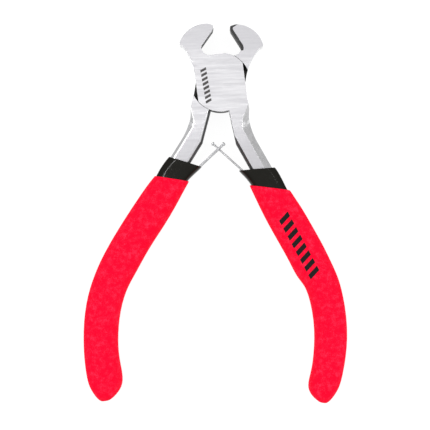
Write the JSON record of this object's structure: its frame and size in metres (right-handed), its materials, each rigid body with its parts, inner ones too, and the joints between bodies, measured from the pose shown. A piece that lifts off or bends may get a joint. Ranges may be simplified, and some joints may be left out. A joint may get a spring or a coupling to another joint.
{
  "type": "end-cutting pliers",
  "caption": "Mini end-cutting pliers, open: polished lap-joint steel head, crossed leaf springs, glossy black inner sleeves and red soft grips.",
  "frame": {"origin": "on the pivot's axis, at the back face of the head", "axes": "+Y from the pivot to the jaws, along the tool's middle line; +Z out of the front face; +X to the front half's arm"},
  "size_m": [0.0796, 0.114, 0.009],
  "materials": {
    "forged_steel": "brushed and polished faces, dark unpolished lap and inner sides",
    "rivet_steel": "ground flush with the head and brushed with it",
    "spring_steel": "bright spring steel, fine lengthwise grain",
    "small_rivet": "plain steel, hidden in the handles",
    "black_sleeve": "glossy black soft PVC",
    "red_grip": "bright red soft grip, matte, finely speckled"
  },
  "bodies": {
    "front": {"front_half": "forged_steel", "pivot_rivet": "rivet_steel", "sleeve_right": "black_sleeve", "grip_right": "red_grip", "spring_rivet_right": "small_rivet"},
    "rear": {"rear_half": "forged_steel", "sleeve_left": "black_sleeve", "grip_left": "red_grip", "spring_rivet_left": "small_rivet"},
    "leaf_right": {"spring_right": "spring_steel"},
    "leaf_left": {"spring_left": "spring_steel"}
  },
  "joints": [
    {"name": "main_pivot", "type": "hinge", "parent": "front", "child": "rear", "pos_m": [0, 0, 0.0045], "axis": [0, 0, 1], "range_deg": [0, 17.2], "stiffness_Nm_per_rad": 1.2, "springref_deg": -2.86, "deforming": ["spring_left", "spring_right"]},
    {"name": "leaf_left_flex", "type": "hinge", "parent": "rear", "child": "leaf_left", "pos_m": [-0.00469, -0.02427, 0.0045], "axis": [0, 0, 1], "range_deg": [-1, 25.5]},
    {"name": "leaf_right_flex", "type": "hinge", "parent": "front", "child": "leaf_right", "pos_m": [0.00645, -0.02556, 0.0045], "axis": [0, 0, 1], "range_deg": [-25.5, 1]}
  ],
  "couplings": [
    {"joint": "leaf_left_flex", "follows": "main_pivot", "ratio": 1.42},
    {"joint": "leaf_right_flex", "follows": "main_pivot", "ratio": -1.42}
  ]
}
